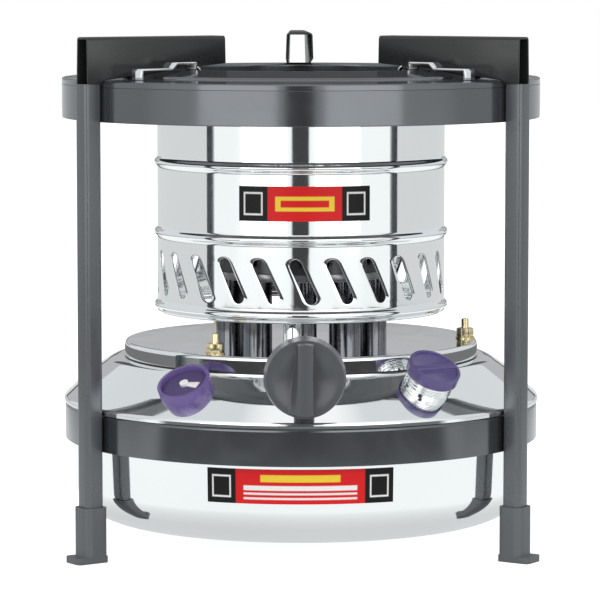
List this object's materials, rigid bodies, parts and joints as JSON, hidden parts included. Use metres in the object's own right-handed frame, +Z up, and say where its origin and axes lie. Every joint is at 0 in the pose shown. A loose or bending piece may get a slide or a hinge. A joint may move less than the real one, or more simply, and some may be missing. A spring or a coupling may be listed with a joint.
{
  "type": "kerosene stove",
  "caption": "Round wick kerosene stove on three square legs, with a slotted chimney drum, pot supports, a domed tank and a rotary wick lift.",
  "frame": {"origin": "on the stove's upright axis, at floor level", "axes": "+Z up, the knob faces -Y, +X to the right of someone who faces the knob"},
  "size_m": [0.2658, 0.3026, 0.283],
  "materials": {
    "frame_paint": "hammered grey enamel, semi-gloss",
    "plate_enamel": "black enamel, semi-gloss",
    "support_enamel": "dark grey enamel, satin",
    "foot_plastic": "moulded grey plastic",
    "tank_steel": "polished stainless sheet",
    "burner_steel": "polished stainless sheet",
    "drum_steel": "mirror-polished stainless sheet",
    "sleeve_steel": "plain steel sheet",
    "brass": "turned brass",
    "machine_steel": "zinc-plated steel",
    "neck_steel": "polished stainless, rolled thread",
    "seal_rubber": "oil-proof rubber",
    "wick_cotton": "woven cotton",
    "knob_plastic": "moulded grey plastic",
    "cap_plastic": "moulded violet plastic",
    "dial_plastic": "dark violet plastic",
    "pointer_plastic": "white plastic",
    "float_cork": "pressed cork"
  },
  "bodies": {
    "stove": {"leg_front_left": "frame_paint", "leg_front_right": "frame_paint", "leg_rear": "frame_paint", "top_ring": "frame_paint", "lower_band": "frame_paint", "top_plate": "plate_enamel", "pot_support_front_left": "support_enamel", "pot_support_front_right": "support_enamel", "pot_support_rear": "support_enamel", "foot_front_left": "foot_plastic", "foot_front_right": "foot_plastic", "foot_rear": "foot_plastic", "tank_bowl": "tank_steel", "tank_dome": "tank_steel", "burner_plate": "burner_steel", "wick_tubes": "burner_steel", "burner_seat": "burner_steel", "rack_guide": "burner_steel", "drum": "drum_steel", "drum_hanger_front_left": "drum_steel", "drum_hanger_front_right": "drum_steel", "drum_hanger_rear_left": "drum_steel", "drum_hanger_rear_right": "drum_steel", "plate_studs": "brass", "plate_washers": "brass", "plate_nuts": "brass", "spindle_bush": "brass", "gland_nut": "brass", "guide_rod": "machine_steel", "spindle_bracket": "machine_steel", "gauge_stem": "machine_steel", "filler_neck": "neck_steel", "gauge_socket": "neck_steel", "plate_gasket": "seal_rubber", "gauge_body": "cap_plastic", "gauge_dial": "dial_plastic"},
    "knob_spindle": {"knob": "knob_plastic", "spindle": "machine_steel", "pinion": "machine_steel"},
    "wick_lift": {"wick_carrier": "machine_steel", "wick_rack": "machine_steel", "wicks": "wick_cotton"},
    "burner": {"outer_sleeve": "sleeve_steel", "inner_sleeve": "sleeve_steel", "sleeve_pins": "sleeve_steel", "flame_cap": "sleeve_steel"},
    "cap_seal": {"cap_seal": "seal_rubber"},
    "filler_cap": {"filler_cap": "cap_plastic"},
    "fuel_float": {"float_arm": "machine_steel", "float": "float_cork"},
    "fuel_pointer": {"gauge_pointer": "pointer_plastic"}
  },
  "joints": [
    {"name": "knob_turn", "type": "hinge", "parent": "stove", "child": "knob_spindle", "pos_m": [0, -0.145, 0.1074], "axis": [0, 1, 0], "range_deg": [0, 240]},
    {"name": "wick_rise", "type": "slide", "parent": "stove", "child": "wick_lift", "axis": [0, 0, 1], "range_m": [0, 0.0157]},
    {"name": "burner_lift", "type": "slide", "parent": "stove", "child": "burner", "axis": [0, 0, 1], "range_m": [0, 0.08]},
    {"name": "cap_rise", "type": "slide", "parent": "stove", "child": "cap_seal", "axis": [0.3039, -0.4341, 0.848], "range_m": [0, 0.0038]},
    {"name": "cap_turn", "type": "hinge", "parent": "cap_seal", "child": "filler_cap", "pos_m": [0.06567, -0.09379, 0.09678], "axis": [0.3039, -0.4341, 0.848], "range_deg": [0, 720]},
    {"name": "float_swing", "type": "hinge", "parent": "stove", "child": "fuel_float", "pos_m": [-0.05477, -0.08631, 0.07351], "axis": [0.5358, 0.8443, 0], "range_deg": [0, 44]},
    {"name": "pointer_turn", "type": "hinge", "parent": "stove", "child": "fuel_pointer", "pos_m": [-0.06216, -0.09794, 0.09556], "axis": [-0.2839, -0.4474, 0.848], "range_deg": [0, 89]}
  ],
  "couplings": [
    {"joint": "knob_turn", "follows": "wick_rise", "rad_per_m": 266.67},
    {"joint": "cap_turn", "follows": "cap_rise", "rad_per_m": 3306.9},
    {"joint": "pointer_turn", "follows": "float_swing", "ratio": 2}
  ]
}
